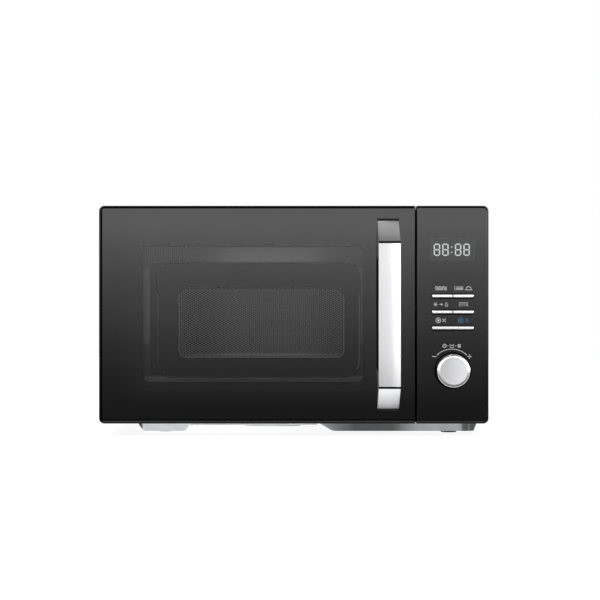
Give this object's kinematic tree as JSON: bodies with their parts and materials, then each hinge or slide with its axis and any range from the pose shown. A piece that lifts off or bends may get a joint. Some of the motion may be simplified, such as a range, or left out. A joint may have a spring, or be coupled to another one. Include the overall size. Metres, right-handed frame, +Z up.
{
  "type": "microwave oven",
  "caption": "Benchtop microwave oven with grill: left-hinged dark glass door with a bridge handle, turntable, push bars, rocking start bar, clock display and turning dial.",
  "frame": {"origin": "on the worktop, under the middle of the overall box with the door closed", "axes": "+X to the right seen from the front, +Y from the door towards the rear, +Z up"},
  "size_m": [0.44, 0.382, 0.26],
  "materials": {
    "zinc_sheet": "bright zinc coat",
    "case_paint": "satin black",
    "grey_enamel": "semi-gloss",
    "screen_paint": "satin black",
    "front_glass": "polished, dark",
    "tray_glass": "polished, clear",
    "clear_pane": "polished, clear",
    "black_moulding": "fine satin",
    "inner_moulding": "plain",
    "white_moulding": "plain",
    "satin_silver": "fine satin",
    "bright_chrome": "polished",
    "plain_steel": "plain",
    "black_rubber": "matte",
    "circuit_board": "solder resist",
    "display_face": "dark window",
    "switch_body": "plain",
    "mica_sheet": "plain",
    "core_iron": "varnished",
    "coil_wire": "enamelled wire",
    "can_metal": "plain",
    "quartz": "frosted"
  },
  "bodies": {
    "cabinet": {"base_plate": "zinc_sheet", "foot_pads": "black_rubber", "cavity_shell": "grey_enamel", "cavity_front_plate": "grey_enamel", "outer_case": "case_paint", "rear_panel": "zinc_sheet", "case_screws": "plain_steel", "cord_gland": "black_moulding", "upper_hinge_bracket": "zinc_sheet", "lower_hinge_bracket": "zinc_sheet", "control_housing": "black_moulding", "control_glass": "front_glass", "display_module": "display_face", "control_board": "circuit_board", "key_switches": "switch_body", "encoder_body": "can_metal", "dial_bezel": "black_moulding", "latch_board": "white_moulding", "interlock_switches": "switch_body", "waveguide": "zinc_sheet", "waveguide_cover": "mica_sheet", "magnetron": "can_metal", "transformer_core": "core_iron", "transformer_coils": "coil_wire", "capacitor": "can_metal", "fan_shroud": "inner_moulding", "fan_motor": "core_iron", "cavity_lamp": "white_moulding", "filter_board": "circuit_board", "tray_motor": "can_metal", "grill_reflector": "zinc_sheet", "grill_elements": "quartz"},
    "door": {"door_frame": "black_moulding", "door_glass": "front_glass", "door_screen": "screen_paint", "choke_cover": "inner_moulding", "door_inner_pane": "clear_pane", "handle_bridge": "satin_silver", "handle_grip": "satin_silver", "handle_pads": "black_rubber", "handle_screws": "plain_steel", "hinge_pins": "plain_steel", "latch_spring": "plain_steel"},
    "latch": {"latch_bar": "inner_moulding"},
    "upper_left_button": {"upper_left_button": "bright_chrome"},
    "upper_right_button": {"upper_right_button": "bright_chrome"},
    "lower_left_button": {"lower_left_button": "bright_chrome"},
    "lower_right_button": {"lower_right_button": "bright_chrome"},
    "start_rocker": {"start_rocker": "bright_chrome"},
    "dial": {"dial": "satin_silver", "encoder_shaft": "plain_steel"},
    "turntable": {"glass_tray": "tray_glass", "tray_coupler": "white_moulding"},
    "roller_ring": {"roller_ring": "white_moulding"},
    "roller_1": {"roller_1": "white_moulding"},
    "roller_2": {"roller_2": "white_moulding"},
    "roller_3": {"roller_3": "white_moulding"},
    "fan": {"fan": "inner_moulding"},
    "upper_switch_plunger": {"upper_switch_plunger": "white_moulding"},
    "lower_switch_plunger": {"lower_switch_plunger": "white_moulding"}
  },
  "joints": [
    {"name": "door_hinge", "type": "hinge", "parent": "cabinet", "child": "door", "pos_m": [-0.211, -0.133, 0.137], "axis": [0, 0, -1], "range_deg": [0, 105]},
    {"name": "latch_slide", "type": "slide", "parent": "door", "child": "latch", "axis": [0, 0, 1], "range_m": [0, 0.005], "stiffness_N_per_m": 300, "springref_m": -0.01, "deforming": ["latch_spring"]},
    {"name": "upper_left_button_slide", "type": "slide", "parent": "cabinet", "child": "upper_left_button", "axis": [0, 1, 0], "range_m": [0, 0.0012], "stiffness_N_per_m": 2000, "springref_m": -0.0005},
    {"name": "upper_right_button_slide", "type": "slide", "parent": "cabinet", "child": "upper_right_button", "axis": [0, 1, 0], "range_m": [0, 0.0012], "stiffness_N_per_m": 2000, "springref_m": -0.0005},
    {"name": "lower_left_button_slide", "type": "slide", "parent": "cabinet", "child": "lower_left_button", "axis": [0, 1, 0], "range_m": [0, 0.0012], "stiffness_N_per_m": 2000, "springref_m": -0.0005},
    {"name": "lower_right_button_slide", "type": "slide", "parent": "cabinet", "child": "lower_right_button", "axis": [0, 1, 0], "range_m": [0, 0.0012], "stiffness_N_per_m": 2000, "springref_m": -0.0005},
    {"name": "rocker_hinge", "type": "hinge", "parent": "cabinet", "child": "start_rocker", "pos_m": [0.1795, -0.144, 0.1223], "axis": [0, 0, 1], "range_deg": [-2, 2], "stiffness_Nm_per_rad": 2},
    {"name": "dial_spin", "type": "hinge", "parent": "cabinet", "child": "dial", "pos_m": [0.1795, -0.155, 0.074], "axis": [0, 1, 0], "continuous": true},
    {"name": "turntable_spin", "type": "hinge", "parent": "cabinet", "child": "turntable", "pos_m": [-0.044, 0.0268, 0.042], "axis": [0, 0, 1], "continuous": true},
    {"name": "roller_ring_spin", "type": "hinge", "parent": "cabinet", "child": "roller_ring", "pos_m": [-0.044, 0.0268, 0.0493], "axis": [0, 0, 1], "continuous": true},
    {"name": "roller_1_spin", "type": "hinge", "parent": "roller_ring", "child": "roller_1", "pos_m": [-0.044, 0.0268, 0.0493], "axis": [1, 0, 0], "continuous": true},
    {"name": "roller_2_spin", "type": "hinge", "parent": "roller_ring", "child": "roller_2", "pos_m": [-0.044, 0.0268, 0.0493], "axis": [-0.5, 0.866, 0], "continuous": true},
    {"name": "roller_3_spin", "type": "hinge", "parent": "roller_ring", "child": "roller_3", "pos_m": [-0.044, 0.0268, 0.0493], "axis": [-0.5, -0.866, 0], "continuous": true},
    {"name": "fan_spin", "type": "hinge", "parent": "cabinet", "child": "fan", "pos_m": [0.1567, 0.17, 0.1774], "axis": [0, 1, 0], "continuous": true},
    {"name": "upper_switch_plunger_slide", "type": "slide", "parent": "cabinet", "child": "upper_switch_plunger", "axis": [0, 1, 0], "range_m": [0, 0.0012], "stiffness_N_per_m": 1500, "springref_m": -0.001},
    {"name": "lower_switch_plunger_slide", "type": "slide", "parent": "cabinet", "child": "lower_switch_plunger", "axis": [0, 1, 0], "range_m": [0, 0.0012], "stiffness_N_per_m": 1500, "springref_m": -0.001}
  ],
  "couplings": [
    {"joint": "roller_ring_spin", "follows": "turntable_spin", "ratio": 0.5},
    {"joint": "roller_1_spin", "follows": "turntable_spin", "ratio": -6.7143},
    {"joint": "roller_2_spin", "follows": "turntable_spin", "ratio": -6.7143},
    {"joint": "roller_3_spin", "follows": "turntable_spin", "ratio": -6.7143}
  ]
}
